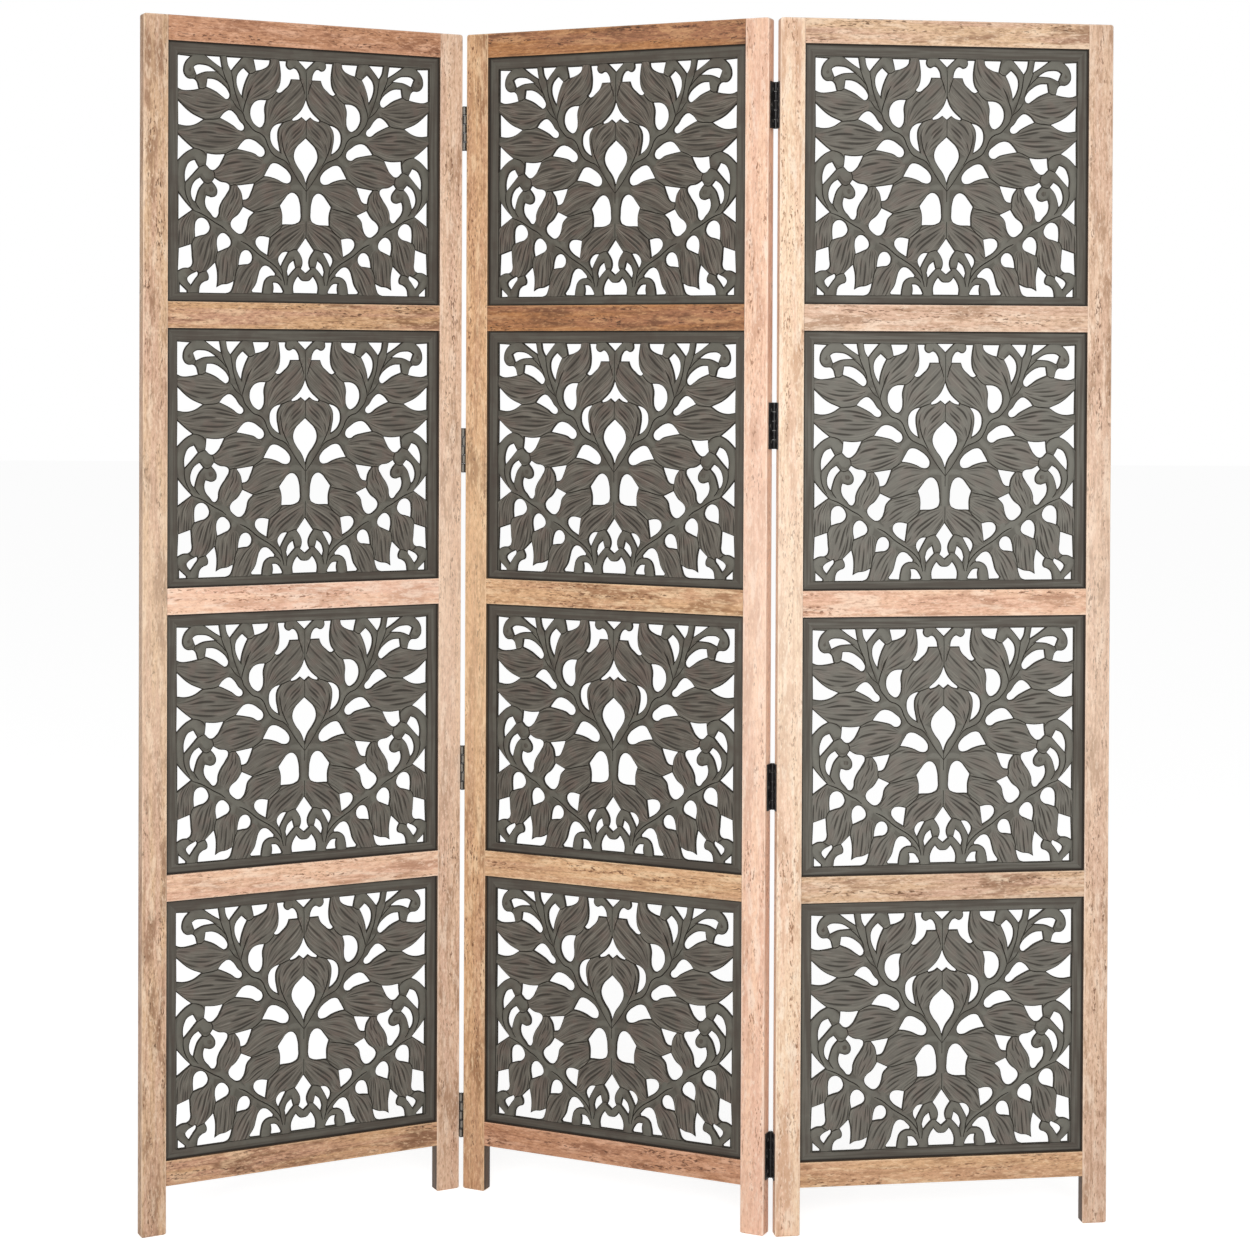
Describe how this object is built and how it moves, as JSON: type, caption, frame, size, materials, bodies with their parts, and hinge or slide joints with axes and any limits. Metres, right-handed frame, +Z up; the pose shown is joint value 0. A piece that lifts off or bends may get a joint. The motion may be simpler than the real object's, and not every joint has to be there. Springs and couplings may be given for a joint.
{
  "type": "folding carved jali screen",
  "caption": "Folding screen of hinged timber frames, each holding a column of boards pierced with mirrored leaf and scroll tracery.",
  "frame": {"origin": "on the floor, under the middle of the standing screen's bounding box", "axes": "+Z up; the front of the screen looks along -Y; +X runs from the left leaf to the right leaf seen from the front"},
  "size_m": [1.4666, 0.256, 1.829],
  "materials": {
    "frame_wood": "rubbed oil, satin",
    "carved_board": "dark grey wash, matt",
    "hinge_plate_steel": "black, worn to bare steel on the knuckles",
    "hinge_pin_steel": "bare steel"
  },
  "bodies": {
    "centre_leaf": {"centre_leaf_left_stile": "frame_wood", "centre_leaf_right_stile": "frame_wood", "centre_leaf_bottom_rail": "frame_wood", "centre_leaf_lower_rail": "frame_wood", "centre_leaf_middle_rail": "frame_wood", "centre_leaf_upper_rail": "frame_wood", "centre_leaf_top_rail": "frame_wood", "centre_leaf_bottom_carving": "carved_board", "centre_leaf_lower_carving": "carved_board", "centre_leaf_upper_carving": "carved_board", "centre_leaf_top_carving": "carved_board", "left_hinge_centre_plates": "hinge_plate_steel", "left_hinge_pins": "hinge_pin_steel", "right_hinge_centre_plates": "hinge_plate_steel", "right_hinge_pins": "hinge_pin_steel"},
    "left_leaf": {"left_leaf_left_stile": "frame_wood", "left_leaf_right_stile": "frame_wood", "left_leaf_bottom_rail": "frame_wood", "left_leaf_lower_rail": "frame_wood", "left_leaf_middle_rail": "frame_wood", "left_leaf_upper_rail": "frame_wood", "left_leaf_top_rail": "frame_wood", "left_leaf_bottom_carving": "carved_board", "left_leaf_lower_carving": "carved_board", "left_leaf_upper_carving": "carved_board", "left_leaf_top_carving": "carved_board", "left_hinge_outer_plates": "hinge_plate_steel"},
    "right_leaf": {"right_leaf_left_stile": "frame_wood", "right_leaf_right_stile": "frame_wood", "right_leaf_bottom_rail": "frame_wood", "right_leaf_lower_rail": "frame_wood", "right_leaf_middle_rail": "frame_wood", "right_leaf_upper_rail": "frame_wood", "right_leaf_top_rail": "frame_wood", "right_leaf_bottom_carving": "carved_board", "right_leaf_lower_carving": "carved_board", "right_leaf_upper_carving": "carved_board", "right_leaf_top_carving": "carved_board", "right_hinge_outer_plates": "hinge_plate_steel"}
  },
  "joints": [
    {"name": "left_fold", "type": "hinge", "parent": "centre_leaf", "child": "left_leaf", "pos_m": [-0.26405, 0.10951, 0.9145], "axis": [0, 0, 1], "range_deg": [-57.5, 127.5]},
    {"name": "right_fold", "type": "hinge", "parent": "centre_leaf", "child": "right_leaf", "pos_m": [0.2176, -0.08921, 0.9145], "axis": [0, 0, 1], "range_deg": [-38, 147]}
  ]
}
